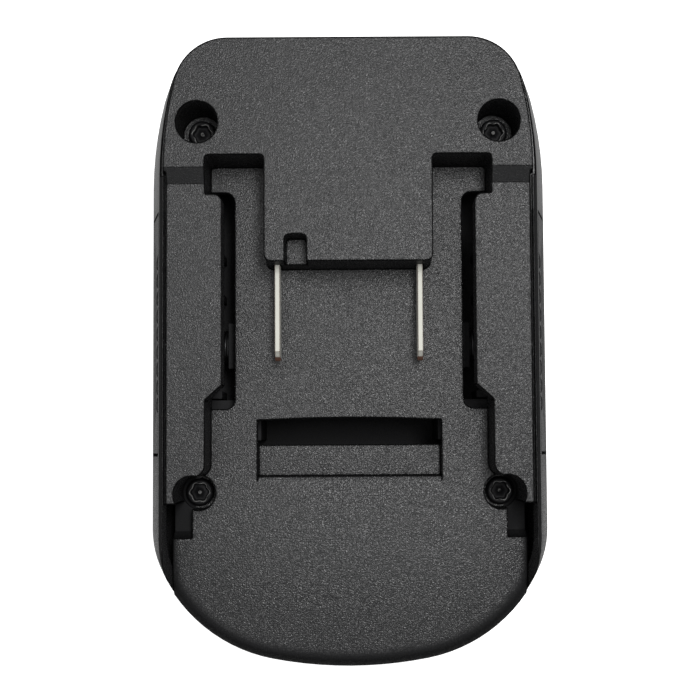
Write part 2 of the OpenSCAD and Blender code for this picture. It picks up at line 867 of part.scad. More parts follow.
// Arm from the flange down into the shoe, with the hook that stands out of the neck
module hook_arm() {
    y0 = hook_y - hook_w / 2;
    y1 = hook_y + hook_w / 2;
    difference() {
        along_y(y0, y1)
            polygon([
                [lip_x, arm_root], [lip_x, arm_z0], [leg_x1, arm_z0], [leg_x1, hook_z1],
                [hook_x, hook_z1], [hook_x, hook_z0], [leg_x0, hook_z0], [leg_x0, arm_z1],
                [lip_x - lip_t, arm_z1], [lip_x - lip_t, arm_root]
            ]);
        translate([0, 0, hook_z0 - bite]) linear_extrude(hook_z1 - hook_z0 + 2 * bite)
            polygon([
                [hook_x + bite, y1 - hook_bevel], [hook_x, y1 - hook_bevel],
                [neck_half, y1 + cut], [hook_x + bite, y1 + cut]
            ]);
    }
}

module release_button() {
    button_face();
    hook_arm();
    box([guide_x, guide_y - guide_w / 2, arm_z0], [lip_x, guide_y + guide_w / 2, arm_z1]);
    box([lip_x - lip_t, guide_y - guide_w / 2, arm_z0], [lip_x, guide_y + guide_w / 2, arm_root]);
    box(
        [lip_x - lip_t, spring_y - seat_w / 2, spring_z - seat_w / 2],
        [lip_x, spring_y + seat_w / 2, arm_root]
    );
    spring_peg(lip_x - lip_t - peg_l, lip_x - lip_t + cut);
}

module release_button_right() {
    color([0.16, 0.16, 0.17]) release_button();
}

module release_button_left() {
    color([0.16, 0.16, 0.17]) mirror([1, 0, 0]) release_button();
}

// Button springs

spring_steps = spring_turns * curl_rings;
spring_path = [for (i = [0:spring_steps])
    let (a = 360 * i / curl_rings, x0 = spring_x0 + spring_wire / 2, x1 = spring_x1 - spring_wire / 2)
    [x0 + (x1 - x0) * i / spring_steps, spring_y + spring_d / 2 * cos(a), spring_z + spring_d / 2 * sin(a)]];
spring_normals = [for (i = [0:spring_steps])
    [0, cos(360 * i / curl_rings), sin(360 * i / curl_rings)]];
spring_self_gap = min([for (i = [0:spring_steps], j = [i + 5:1:spring_steps])
    norm(spring_path[i] - spring_path[j])]) - spring_wire;
echo(spring_self_gap = spring_self_gap);

module button_spring_right() {
    color([0.75, 0.75, 0.72]) tube(spring_path, spring_normals, spring_wire / 2, wire_sides);
}

module button_spring_left() {
    color([0.75, 0.75, 0.72])
        mirror([1, 0, 0]) tube(spring_path, spring_normals, spring_wire / 2, wire_sides);
}

// Battery contacts

// Blade: bevelled tip, collar behind the tongue's face, neck in the terminal block, tail for the lead
module blade() {
    collar_y = tongue_y + tongue_front + 2 * blade_play;
    tip_y = tongue_y - blade_reach;
    along_x(blade_x - blade_t / 2, blade_x + blade_t / 2) {
        polygon([
            [tip_y, blade_z0 + blade_tip], [tip_y + blade_tip, blade_z0], [tail_y, blade_z0],
            [tail_y, blade_z1], [tip_y + blade_tip, blade_z1], [tip_y, blade_z1 - blade_tip]
        ]);
        translate([collar_y, blade_z0 - blade_step])
            square([tb_y0 - blade_play - collar_y, blade_h + blade_step]);
        translate([tb_y1 + blade_play, blade_z0 - blade_step])
            square([tail_y - tb_y1 - blade_play, blade_h + 2 * blade_step]);
    }
}

module blade_positive() {
    color([0.86, 0.85, 0.8]) blade();
}

module blade_negative() {
    color([0.86, 0.85, 0.8]) mirror([1, 0, 0]) blade();
}

module terminal_block() {
    color([0.12, 0.12, 0.13])
    difference() {
        box([-tb_half, tb_y0, tb_z0], [tb_half, tb_y1, tb_z1]);
        both_sides() {
            box(
                [blade_x - blade_t / 2 - blade_gap, tb_y0 - bite, blade_z0 - blade_gap],
                [far, tb_y1 + bite, blade_z1 + blade_gap]
            );
            post(tb_screw_x, tb_screw_y, tb_boss_z, far, small_boss_d / 2 + small_boss_gap);
            post(tb_screw_x, tb_screw_y, 0, far, small_through_r);
        }
        box([-tb_screw_x / 2, tb_y0 - bite, tb_z0 + tb_base], [tb_screw_x / 2, tb_y1 + bite, far]);
    }
}

// Screws, drawn with the underside of the head at z = 0 and the shank downwards

module screw(d, l, hd, hh) {
    tip = d * 0.4;
    dome = hh * 0.35;
    recess_r = hd * 0.17;
    recess_z = hh * 0.3;
    difference() {
        rotate_extrude()
            polygon([
                [0, -l], [d / 2 - tip / 2, -l], [d / 2, tip - l], [d / 2, 0], [hd / 2, 0],
                [hd / 2, hh - dome], [hd / 2 - dome, hh], [0, hh]
            ]);
        for (a = [0:60:300])
            rotate(a) translate([recess_r, 0, recess_z]) cylinder(d = hd * 0.15, h = hh);
        translate([0, 0, recess_z]) cylinder(r = recess_r, h = hh);
    }
}

module rear_case_screws() {
    color([0.09, 0.09, 0.1])
        for (s = [-1, 1])
            translate([s * rear_screw_x, rear_screw_y, rear_seat_z])
                screw(screw_d, rear_screw_l, head_d, head_h);
}

module front_case_screws() {
    color([0.09, 0.09, 0.1])
        for (s = [-1, 1])
            translate([s * front_screw_x, front_screw_y, front_seat_z])
                screw(screw_d, front_screw_l, head_d, head_h);
}

module terminal_block_screws() {
    color([0.6, 0.6, 0.6])
        for (s = [-1, 1])
            translate([s * tb_screw_x, tb_screw_y, tb_z0]) rotate([180, 0, 0])
                screw(small_screw_d, tb_screw_l, small_head_d, small_head_h);
}

module contact_carrier_screws() {
    color([0.6, 0.6, 0.6])
        for (s = [-1, 1])
            translate([s * cc_screw_x, cc_screw_y, cc_z1])
                screw(small_screw_d, cc_screw_l, small_head_d, small_head_h);
}

// Tool contacts

module contact_carrier() {
    color([0.13, 0.13, 0.14])
    difference() {
        box([-cc_half, cc_y0, shoe_floor], [cc_half, cc_y1, cc_z1]);
        both_sides() {
            box([clip_x - clip_bay, clip_y0 - cut, clip_z0], [clip_x + clip_bay, far, far]);
            box([clip_x - tool_slot / 2, slot_y0, -bite], [clip_x + tool_slot / 2, far, far]);
            post(cc_screw_x, cc_screw_y, 0, cc_boss_z, small_boss_d / 2 + small_boss_gap);
            post(cc_screw_x, cc_screw_y, 0, far, small_through_r);
        }
    }
}

// Fork contact from above: two leaves that close to a throat and flare at the mouth, joined at the root
module clip_plan() {
    throat_y = clip_y1 - clip_flare;
    bend_y = clip_y0 + clip_straight;
    for (s = [-1, 1])
        polygon([
            [s * clip_root, clip_y0], [s * clip_root, bend_y], [s * clip_throat, throat_y],
            [s * clip_mouth, clip_y1], [s * (clip_mouth + clip_t), clip_y1],
            [s * (clip_throat + clip_t), throat_y], [s * (clip_root + clip_t), bend_y],
            [s * (clip_root + clip_t), clip_y0]
        ]);
    translate([-clip_root - clip_t, clip_y0]) square([2 * (clip_root + clip_t), clip_t]);
}

module contact_clip() {
    translate([clip_x, 0, clip_z0]) linear_extrude(clip_h) clip_plan();
    box([clip_x + clip_root, clip_y0, clip_z0], [clip_x + clip_root + clip_t, clip_y0 + tab_l, tab_z]);
}

module contact_clip_positive() {
    color([0.8, 0.66, 0.4]) contact_clip();
}

module contact_clip_negative() {
    color([0.8, 0.66, 0.4]) mirror([1, 0, 0]) contact_clip();
}

// Leads

// Points of a route with square corners, each rounded to radius r
function rounded_route(p, r, n) =
    concat(
        [p[0]],
        [for (i = [1:len(p) - 2])
            let (u = unit(p[i - 1] - p[i]), v = unit(p[i + 1] - p[i]), c = p[i] + r * (u + v))
            for (k = [0:n]) c - r * (v * cos(90 * k / n) + u * sin(90 * k / n))],
        [p[len(p) - 1]]
    );

lead_path = rounded_route(lead_route, lead_bend, 5);
lead_normals = [for (p = lead_path) [1, 0, 0]];

module lead_positive() {
    color([0.7, 0.1, 0.1]) tube(lead_path, lead_normals, lead_d / 2, lead_sides);
}

module lead_negative() {
    color([0.08, 0.08, 0.08]) mirror([1, 0, 0]) tube(lead_path, lead_normals, lead_d / 2, lead_sides);
}

module sleeve() {
    difference() {
        cylinder(r = lead_d / 2 + sleeve_t, h = sleeve_l);
        translate([0, 0, -bite]) cylinder(r = lead_d / 2, h = sleeve_l + 2 * bite);
    }
}

module lead_sleeves() {
    translate([lead_x, tail_y + sleeve_off, blade_zm]) rotate([-90, 0, 0]) sleeve();
    translate([lead_x, lead_y, tab_z + sleeve_off]) sleeve();
}

module lead_sleeves_positive() {
    color([0.5, 0.08, 0.08]) lead_sleeves();
}

module lead_sleeves_negative() {
    color([0.14, 0.14, 0.14]) mirror([1, 0, 0]) lead_sleeves();
}

top_cover();
base_shell();
release_button_right();
release_button_left();
button_spring_right();
button_spring_left();
terminal_block();
terminal_block_screws();
blade_positive();
blade_negative();
rear_case_screws();
front_case_screws();
contact_carrier();
contact_carrier_screws();
contact_clip_positive();
contact_clip_negative();
lead_positive();
lead_negative();
lead_sleeves_positive();
lead_sleeves_negative();
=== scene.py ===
"""Looks of a slide-on battery adapter for cordless tools, laid out as an add-on and run as a script."""

import math

import bpy
import numpy as np
from mathutils import Matrix, Vector


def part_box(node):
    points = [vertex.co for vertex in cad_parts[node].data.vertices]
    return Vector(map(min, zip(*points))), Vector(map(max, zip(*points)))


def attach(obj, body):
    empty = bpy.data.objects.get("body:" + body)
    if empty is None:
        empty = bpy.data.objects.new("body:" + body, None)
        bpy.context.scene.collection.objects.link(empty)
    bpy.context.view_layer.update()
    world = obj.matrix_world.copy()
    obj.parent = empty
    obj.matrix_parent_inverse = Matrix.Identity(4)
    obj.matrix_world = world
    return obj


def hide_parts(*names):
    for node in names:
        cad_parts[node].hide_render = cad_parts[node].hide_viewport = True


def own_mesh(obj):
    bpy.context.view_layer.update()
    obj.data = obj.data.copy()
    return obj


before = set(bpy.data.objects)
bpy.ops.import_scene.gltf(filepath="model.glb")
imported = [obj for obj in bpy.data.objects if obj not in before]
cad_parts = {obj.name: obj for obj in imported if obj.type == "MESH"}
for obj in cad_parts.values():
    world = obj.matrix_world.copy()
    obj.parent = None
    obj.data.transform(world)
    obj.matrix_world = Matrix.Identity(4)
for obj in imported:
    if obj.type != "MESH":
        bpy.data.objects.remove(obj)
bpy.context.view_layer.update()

bl_info = {
    "name": "Battery adapter looks",
    "version": (1, 0, 0),
    "blender": (4, 5, 0),
    "location": "3D View > Sidebar > Adapter",
    "description": "Finishes, screws, springs and leads of a slide-on battery adapter, with its stage",
    "category": "Object",
}

MM = 0.001

# Moulded plastic: gloss, grain and painted shade, and how they change with a face's tilt: 0 on level faces, 1
# on upright ones
PLASTIC_GLOSS = 0.335
EDGE_TURN = (0.002, 0.012)
SLOPING = (0.01, 0.1)
STEEP = (0.06, 0.25)
UPRIGHT = (0.6, 0.95)
SLOPE_DULLNESS = 0.9
WALL_SHINE = 0.28
STEEP_SHADE = 0.7
CLOUD = 12.0 * MM
CELL_ROUNDING = 0.6
DOT_SCATTER = 0.7
DOT_FALL = (0.2, 0.65)
DOT_MEAN = 0.45
GLINT_RUN = (-60.0 * MM, 35.0 * MM)
FRONT_CONTRAST = 0.75
CONTRAST_DROP = 0.45
GLOSS_KEPT = 0.625
RECESS_SHADE_TONE = 0.75

# Places where the finish of the cover and the base changes, and where shade is painted on them
COVER_SIDE = (30.3 * MM, 30.5 * MM)
COVER_SIDE_TOP = (28.0 * MM, 30.8 * MM)
APRON_SIDE = (32.7 * MM, 34.2 * MM)
APRON_REAR = (-35.0 * MM, -34.5 * MM)
FLANK_FOOT = (10.5 * MM, 12.0 * MM)
TUB_FLOOR = (10.5 * MM, 11.0 * MM)
TUB_HALF_WIDTH, TUB_HALF_LENGTH, TUB_MIDDLE = 32.0 * MM, 46.0 * MM, 4.0 * MM
SHOE_FLOOR = (1.0 * MM, 1.5 * MM)
SHOE_HALF_WIDTH, SHOE_HALF_LENGTH = 20.0 * MM, 41.0 * MM
BUTTON_INSIDE = 33.0 * MM

# Shapes
SCREW_SIDES = 72
WIRE_RADIUS = 0.35 * MM
END_COIL_RISE = 0.75 * MM
COIL_STEPS = 28
SLEEVE_LENGTH = 4.0 * MM
WELD = 2e-6
CREASE = math.radians(20)

# Stage, in metres
FLOOR_REACH = 1.5
FLOOR_LEVEL = -0.0002
STAGE_MIDDLE = (0.0, 0.0, 0.03)


# Shader expressions


class Value:
    """A socket of a finish's node tree. Arithmetic on it adds Math nodes to that tree."""

    def __init__(self, finish, socket):
        self.finish = finish
        self.socket = socket

    def _math(self, operation, a, b):
        return self.finish.node("ShaderNodeMath", {"operation": operation}, {0: a, 1: b}).out()

    def __add__(self, other):
        return self._math("ADD", self, other)

    def __sub__(self, other):
        return self._math("SUBTRACT", self, other)

    def __rsub__(self, other):
        return self._math("SUBTRACT", other, self)

    def __mul__(self, other):
        return self._math("MULTIPLY", self, other)

    def __truediv__(self, other):
        return self._math("DIVIDE", self, other)

    def __abs__(self):
        return self._math("ABSOLUTE", self, 0.0)

    def within(self, limit):
        """1 where the value lies between minus and plus the limit, else 0."""
        return 1.0 - abs(self).rise(limit, limit + 0.1 * MM)

    def rise(self, low, high):
        """0 below low, 1 above high, with a smooth step between them."""
        settings = {"interpolation_type": "SMOOTHSTEP"}
        return self.finish.node("ShaderNodeMapRange", settings, {0: self, 1: low, 2: high}).out()


class Node:
    """A node of a finish, whose outputs are read as values."""

    def __init__(self, finish, node):
        self.finish = finish
        self.node = node

    def out(self, name=0):
        return Value(self.finish, self.node.outputs[name])


class Finish:
    """A node-based material: one Principled shader and the nodes that feed it."""

    def __init__(self, name, **constants):
        self.material = bpy.data.materials.new(name)
        self.material.use_nodes = True
        self.tree = self.material.node_tree
        self.tree.nodes.clear()
        self.output = self.tree.nodes.new("ShaderNodeOutputMaterial")
        self.shader = self.tree.nodes.new("ShaderNodeBsdfPrincipled")
        self.tree.links.new(self.shader.outputs[0], self.output.inputs["Surface"])
        for socket, value in constants.items():
            self.feed(socket.replace("_", " "), value)

    def node(self, kind, settings=None, inputs=None):
        """Adds a node: its settings first, then a value or a link on each named or numbered socket."""
        made = self.tree.nodes.new(kind)
        for key, value in (settings or {}).items():
            setattr(made, key, value)
        for key, value in (inputs or {}).items():
            self._set(made.inputs[key], value)
        return Node(self, made)

    def _set(self, socket, value):
        if isinstance(value, Value):
            self.tree.links.new(value.socket, socket)
        else:
            socket.default_value = value

    def feed(self, socket, value):
        """Sets or links one socket of the Principled shader."""
        self._set(self.shader.inputs[socket], value)

    def place(self):
        """Object coordinates, in metres."""
        return self.node("ShaderNodeTexCoord").out("Object")

    def axes(self, place):
        """The three coordinates of a place, as values."""
        split = self.node("ShaderNodeSeparateXYZ", None, {0: place})
        return split.out(0), split.out(1), split.out(2)

    def noise(self, place, size, detail):
        """Noise from 0 to 1 whose blotches are about size metres wide."""
        inputs = {"Vector": place, "Scale": 1.0 / size, "Detail": detail}
        return self.node("ShaderNodeTexNoise", None, inputs).out(0)

    def cells(self, place, size):
        """Rounded cells about size metres wide: distance from each cell's middle."""
        settings = {"feature": "SMOOTH_F1"}
        inputs = {"Vector": place, "Scale": 1.0 / size, "Smoothness": CELL_ROUNDING}
        return self.node("ShaderNodeTexVoronoi", settings, inputs).out("Distance")

    def specks(self, place, size):
        """A random value from 0 to 1 for each cell about size metres wide."""
        inputs = {"Vector": place, "Scale": 1.0 / size}
        return self.node("ShaderNodeTexVoronoi", None, inputs).out("Color")

    def dots(self, place, size):
        """1 in the middle of each cell about size metres wide, falling to 0 between the cells."""
        inputs = {"Vector": place, "Scale": 1.0 / size, "Randomness": DOT_SCATTER}
        return 1.0 - self.node("ShaderNodeTexVoronoi", None, inputs).out("Distance").rise(*DOT_FALL)

    def stretch(self, place, scale):
        """The place with each axis multiplied, for streaks."""
        return self.node("ShaderNodeMapping", None, {"Vector": place, "Scale": scale}).out()

    def tint(self, factor, low, high):
        """A colour between two colours, each a value or three numbers."""
        low, high = (c if isinstance(c, Value) else (*c, 1.0) for c in (low, high))
        return self.node("ShaderNodeMix", {"data_type": "RGBA"}, {0: factor, 6: low, 7: high}).out(2)

    def rounded(self, radius, samples=4):
        """The normal with edges rounded to a small radius."""
        return self.node("ShaderNodeBevel", {"samples": samples}, {"Radius": radius}).out()

    def edges(self, rounded, low, high):
        """1 along edges, where the rounded normal turns away from the surface's own, else 0."""
        own = self.node("ShaderNodeNewGeometry").out("Normal")
        settings = {"operation": "DOT_PRODUCT"}
        turn = self.node("ShaderNodeVectorMath", settings, {0: rounded, 1: own}).out("Value")
        return (1.0 - turn).rise(low, high)

    def bump(self, height, depth, normal=None):
        """Feeds the shader's normal with a height field of that depth in metres, and returns that normal."""
        inputs = {"Height": height, "Distance": depth, "Strength": 1.0}
        if normal is not None:
            inputs["Normal"] = normal
        bumped = self.node("ShaderNodeBump", None, inputs).out()
        self.feed("Normal", bumped)
        return bumped

    def tilt(self):
        """0 on level faces, rising to 1 on upright ones."""
        up = self.axes(self.node("ShaderNodeTexCoord").out("Normal"))[2]
        return 1.0 - abs(up)

    def dull(self, share, colour, normal):
        """Mixes in a dull surface without gloss, by share."""
        inputs = {"Base Color": colour, "Roughness": 1.0, "Specular IOR Level": 0.0, "Normal": normal}
        plain = self.node("ShaderNodeBsdfPrincipled", None, inputs).out()
        both = {0: share, 1: Value(self, self.shader.outputs[0]), 2: plain}
        mixed = self.node("ShaderNodeMixShader", None, both).out()
        self.tree.links.new(mixed.socket, self.output.inputs["Surface"])


def shade(colour, factor):
    """A colour made lighter or darker."""
    return tuple(min(1.0, c * factor) for c in colour)


def grain_height(finish, place, grain):
    """Height of a spark-eroded grain: rounded cells with finer noise on them."""
    return finish.noise(place, grain * 0.8, 1.0) + finish.cells(place, grain) * 0.7


def moulded(name, colour, grain, depth, roughness, edge, smooth=None, gloss=None, inside=None, fade=None):
    """Black moulded plastic with a grain that glints on level faces and is duller on slopes and upright walls.
    The masks take a place's axes: smooth leaves the grain out, gloss is polished, inside is painted shade in
    recesses and inner rooms, with the gloss cut and the tone set even, and fade is painted shade that cuts the
    gloss of level faces."""
    finish = Finish(name, Specular_IOR_Level=PLASTIC_GLOSS)
    place = finish.place()
    axes = finish.axes(place)
    height = grain_height(finish, place, grain)
    broad = finish.noise(place, CLOUD, 2.0)
    rounded = finish.rounded(edge, 12)
    # Painted shade along the edges: rim darkens the colour to its darkest tone and cuts the gloss there.
    rim = finish.edges(rounded, *EDGE_TURN)
    tone_with_painted_shade = (height * 0.6 + broad * 0.3) * (1.0 - rim)
    matte = finish.specks(place, grain * 0.8) * 0.3 + broad * 0.03 + (roughness - 0.16)

    # Painted shade on slopes: steep slopes get a darker colour, and sloping faces lose most of their gloss, as
    # shade from the light above.
    tilt = finish.tilt()
    sloping, upright = tilt.rise(*SLOPING), tilt.rise(*UPRIGHT)
    tone_with_painted_shade = tone_with_painted_shade * (1.0 - tilt.rise(*STEEP) * (1.0 - upright) * STEEP_SHADE)
    share = sloping * (SLOPE_DULLNESS - upright * WALL_SHINE)
    share = share * (1.0 - rim) + rim
    glint = finish.dots(place, grain * 1.6) - DOT_MEAN
    # Painted shade on level faces: fade cuts their gloss, so the strip that it marks renders dark.
    if fade:
        painted_seam_shade = fade(*axes) * (1.0 - sloping)
        share = share * (1.0 - painted_seam_shade) + painted_seam_shade
    if smooth:
        plain = 1.0 - smooth(*axes)
        height = height * plain
        glint = glint * plain
    if gloss:
        polish = gloss(*axes)
        matte = matte * (1.0 - polish) + polish * (broad * 0.06 + 0.2)

    contrast = FRONT_CONTRAST - axes[1].rise(*GLINT_RUN) * CONTRAST_DROP
    kept = (glint * contrast / (1.0 - contrast * 0.5) + 1.0) * GLOSS_KEPT
    share = 1.0 - (1.0 - share) * kept
    # Painted shade in recesses and inner rooms: the gloss is cut and the grain tone set even, so these places
    # render dark.
    if inside:
        painted_recess_shade = inside(*axes)
        share = share * (1.0 - painted_recess_shade) + painted_recess_shade
        tone_with_painted_shade = tone_with_painted_shade * (1.0 - painted_recess_shade) + painted_recess_shade * RECESS_SHADE_TONE
    skin = finish.tint(tone_with_painted_shade, shade(colour, 0.3), shade(colour, 1.7))
    finish.feed("Base Color", skin)
    finish.feed("Roughness", matte)
    normal = finish.bump(height, depth, rounded)
    finish.dull(share, skin, normal)
    return finish


def tub_inside_shade(x, y, z):
    """1 in the base's inner room, where shade is painted: the tub above its floor, and the hollow of the shoe
    below it.
    """
    above = z.rise(*TUB_FLOOR)
    tub = x.within(TUB_HALF_WIDTH) * (y - TUB_MIDDLE).within(TUB_HALF_LENGTH) * above
    hollow = x.within(SHOE_HALF_WIDTH) * y.within(SHOE_HALF_LENGTH) * z.rise(*SHOE_FLOOR) * (1.0 - above)
    return tub + hollow


def plain_plastic(name, colour, roughness):
    """Plain moulded plastic of an inner block, with flow marks and a light haze."""
    finish = Finish(name, IOR=1.46)
    place = finish.place()
    flow = finish.noise(finish.stretch(place, (1.0, 0.25, 1.0)), 0.003, 3.0)
    fine = finish.noise(place, 0.0002, 2.0)
    finish.feed("Base Color", finish.tint(flow, shade(colour, 0.8), shade(colour, 1.25)))
    finish.feed("Roughness", flow * 0.18 + (roughness - 0.09))
    finish.bump(fine * 0.4 + flow, 0.00001, finish.rounded(0.00012))
    return finish


def strip_metal(name, colour, roughness, along):
    """Rolled metal strip with fine lines along it, duller patches and rounded edges."""
    finish = Finish(name, Metallic=1.0)
    place = finish.place()
    lines = finish.noise(finish.stretch(place, along), 0.00012, 2.0)
    dull = finish.noise(place, 0.0025, 3.0)
    finish.feed("Base Color", finish.tint(dull, shade(colour, 0.82), shade(colour, 1.08)))
    finish.feed("Roughness", lines * 0.14 + dull * 0.16 + (roughness - 0.15))
    finish.bump(lines, 0.000006, finish.rounded(0.00008))
    return finish


def tinned_strip(name, colour, bare, roughness, end_y, end):
    """Tin-plated blade with small pits in the tin. Bare metal shows at its sheared end, which lies at end_y and
    fades into the tin over the length end, and it darkens the edges."""
    finish = Finish(name, Metallic=1.0)
    place = finish.place()
    y = finish.axes(place)[1]
    pits = finish.noise(place, 0.00035, 2.0)
    cloud = finish.noise(place, 0.003, 3.0)
    tin = finish.tint(pits * 0.7 + cloud * 0.4, shade(colour, 0.62), shade(colour, 1.12))
    rounded = finish.rounded(0.0003, 8)
    edges = finish.edges(rounded, 0.004, 0.03)
    sheared = 1.0 - y.rise(end_y + end * 0.6, end_y + end) * (1.0 - edges * 0.75)
    finish.feed("Base Color", finish.tint(sheared, tin, bare))
    finish.feed("Roughness", pits * 0.16 + cloud * 0.1 + sheared * 0.2 + (roughness - 0.13))
    finish.bump(pits, 0.000012, rounded)
    return finish


def coated_steel(name, colour, worn_and_highlit, roughness, metallic, gloss):
    """Screw steel with a thin uneven coat, rubbed to bare steel along the recess edges that the point attribute
    marks;
    that bare steel also paints a highlight on each recess's rim.
    """
    finish = Finish(name, Specular_IOR_Level=gloss)
    place = finish.place()
    coat = finish.noise(place, 0.0006, 3.0)
    patchy = finish.noise(place, 0.0011, 1.0)
    edges = finish.node("ShaderNodeAttribute", {"attribute_name": "wear_and_highlight"}).out("Fac")
    # Painted highlight: the bare metallic steel on each recess's rim stands partly for rubbing, partly for the
    # rim's highlight.
    wear_and_highlight = edges * patchy.rise(0.3, 0.6)
    skin = finish.tint(coat, shade(colour, 0.7), shade(colour, 1.4))
    finish.feed("Base Color", finish.tint(wear_and_highlight, skin, worn_and_highlit))
    finish.feed("Metallic", wear_and_highlight * (1.0 - metallic) + metallic)
    finish.feed("Roughness", coat * 0.18 + (roughness - 0.09))
    finish.bump(coat, 0.000008)
    return finish


def lead_skin(name, colour):
    """Soft lead insulation with a faint drawn grain along it and a dusty bloom."""
    finish = Finish(name, IOR=1.48)
    place = finish.place()
    drawn = finish.noise(finish.stretch(place, (1.0, 0.08, 0.08)), 0.0003, 2.0)
    bloom = finish.noise(place, 0.004, 3.0)
    finish.feed("Base Color", finish.tint(bloom, shade(colour, 0.78), shade(colour, 1.15)))
    finish.feed("Roughness", bloom * 0.2 + 0.38)
    finish.bump(drawn, 0.00001)
    return finish


# Surfaces


def grid_shell(points, close_u=False, close_v=True, poles=False):
    """Corners and faces of a grid of points [u, v, 3]: quads between neighbours, closed round v and, if
    asked, round u. With poles, the first and last rows are each one point, joined by triangles."""
    sides = points.shape[1]
    body = points[1:-1] if poles else points
    count = body.shape[0]
    u = np.arange(count if close_u else count - 1)[:, None]
    v = np.arange(sides if close_v else sides - 1)[None, :]
    here, there = u * sides, (u + 1) % count * sides
    after = (v + 1) % sides
    faces = [np.stack([here + v, here + after, there + after, there + v], -1).reshape(-1, 4)]
    corners = body.reshape(-1, 3)
    if poles:
        ring = np.arange(sides)
        turn = (ring + 1) % sides
        top = np.full(sides, len(corners))
        last = (count - 1) * sides
        faces += [np.stack([turn, ring, top], -1), np.stack([last + ring, last + turn, top + 1], -1)]
        corners = np.concatenate([corners, points[:1, 0], points[-1:, 0]])
    return corners, faces


def shell_mesh(name, *shells):
    """One smooth mesh of one or more shells, each keeping its own corners and faces."""
    corners = [shell[0] for shell in shells]
    starts = np.cumsum([0] + [len(part) for part in corners])
    faces = []
    for start, shell in zip(starts, shells):
        for group in shell[1]:
            faces += (group + start).tolist()
    mesh = bpy.data.meshes.new(name)
    mesh.from_pydata(np.concatenate(corners).tolist(), [], faces)
    mesh.polygons.foreach_set("use_smooth", np.ones(len(mesh.polygons), bool))
    mesh.update()
    return mesh


def screw_points(head_d, head_h, shank_d, length, pitch, lobes, pin):
    """Points of a screw with its head's underside at z = 0 and the head towards +Z.
    Each row is a ring of radius r(v) at one height, from the recess's middle outwards, over the head and down
    the shank. Recess rings follow r = mean (1 + swing cos(lobes v)); thread rings follow a rounded ridge of
    the phase z / pitch - v / 2 pi. Also gives, from 0 to 1, where the recess rim and the pin are rubbed to bare
    steel, which also paints a highlight there."""
    v = np.linspace(0, 2 * np.pi, SCREW_SIDES, endpoint=False)
    mean, swing, middle, land = (0.33, 0.085, 0.8, 0.4) if pin else (0.2, 0.17, 0.28, 0.27)
    wide = head_d * mean * (1 + swing * np.cos(lobes * v))
    narrow = wide * 0.92
    deep = head_h * 0.3
    r, z, worn_and_highlit = [], [], []

    def ring(radius, height, wear_and_highlight=0.0):
        r.append(np.broadcast_to(radius, v.shape))
        z.append(np.broadcast_to(height, v.shape))
        worn_and_highlit.append(np.full(v.shape, wear_and_highlight))

    # The last value of a ring marks rubbed bare steel, which also paints a highlight on the pin and the
    # recess's rim.
    ring(0.0, head_h * middle)
    if pin:
        pin_r = head_d * 0.06
        ring(pin_r * 0.7, head_h * 0.8, 0.5)
        ring(pin_r, head_h * 0.74, 0.8)
        ring(pin_r * 1.02, deep)
    ring(narrow * 0.8, deep * 0.98)
    ring(narrow, deep)
    ring(wide * 0.955, head_h * 0.82)
    ring(wide * 0.975, head_h * 0.9, 0.7)
    ring(wide, head_h * 0.965, 1.0)
    ring(wide * 1.03, head_h * 0.99, 0.7)
    ring(wide * 1.06, head_h * 0.995)
    flat = head_d * land
    for t in np.linspace(0.0, 1.0, 9):
        a = t * np.pi / 2
        ring(flat + (head_d / 2 - flat) * np.sin(a), head_h * (0.34 + 0.655 * np.cos(a)))
    ring(head_d / 2, head_h * 0.06)
    ring(head_d / 2 - head_h * 0.05, 0.0)
    ring(shank_d * 0.5, -0.00004)
    core = shank_d * 0.38
    point = shank_d * 0.9
    for step in np.linspace(0.0, 1.0, max(24, int(length / pitch * 8))):
        height = -0.0001 - step * (length - 0.0002)
        ridge = 0.5 + 0.5 * np.cos(2 * np.pi * (height / pitch) - v)
        fade = min(1.0, step * 12) * min(1.0, (length + height) / point * 0.6 + 0.4)
        thread = (core + (shank_d / 2 - core) * ridge ** 2) * fade
        ring(thread if step > 0.08 else shank_d * 0.5 * 0.98, height)
    ring(0.0, -length)
    radius, height = np.array(r), np.array(z)
    return np.stack([radius * np.cos(v), radius * np.sin(v), height], -1), np.array(worn_and_highlit)


def screw_mesh(name, places, flip, **sizes):
    """Screws at several places; flip turns their heads to -Z by a half turn about X. Their point attribute is 1
    along the edge of each recess, where the steel is rubbed bare, which also paints a highlight there."""
    points, worn_and_highlit = screw_points(**sizes)
    turn = np.array([1.0, -1.0, -1.0]) if flip else np.ones(3)
    mesh = shell_mesh(name, *(grid_shell(points * turn + np.array(place), poles=True) for place in places))
    one = np.concatenate([worn_and_highlit[1:-1].ravel(), worn_and_highlit[:1, 0], worn_and_highlit[-1:, 0]])
    mesh.attributes.new("wear_and_highlight", "FLOAT", "POINT").data.foreach_set("value", np.tile(one, len(places)))
    return mesh


def tube_points(path, normals, radius, sides):
    """Points of a tube: each point of the path carries a circle in the plane of its normal and binormal.
    Radius may change along the path. The two end rows are the path's ends, as poles."""
    tangent = np.gradient(path, axis=0)
    tangent /= np.linalg.norm(tangent, axis=1, keepdims=True)
    binormal = np.cross(tangent, normals)
    binormal /= np.linalg.norm(binormal, axis=1, keepdims=True)
    normal = np.cross(binormal, tangent)
    v = np.linspace(0, 2 * np.pi, sides, endpoint=False)
    size = np.broadcast_to(radius, (len(path),))[:, None, None]
    rings = path[:, None] + size * (
        np.cos(v)[None, :, None] * normal[:, None] + np.sin(v)[None, :, None] * binormal[:, None])
    ends = [np.repeat(path[i][None, None], sides, 1) for i in (0, -1)]
    return np.concatenate([ends[0], rings, ends[1]])


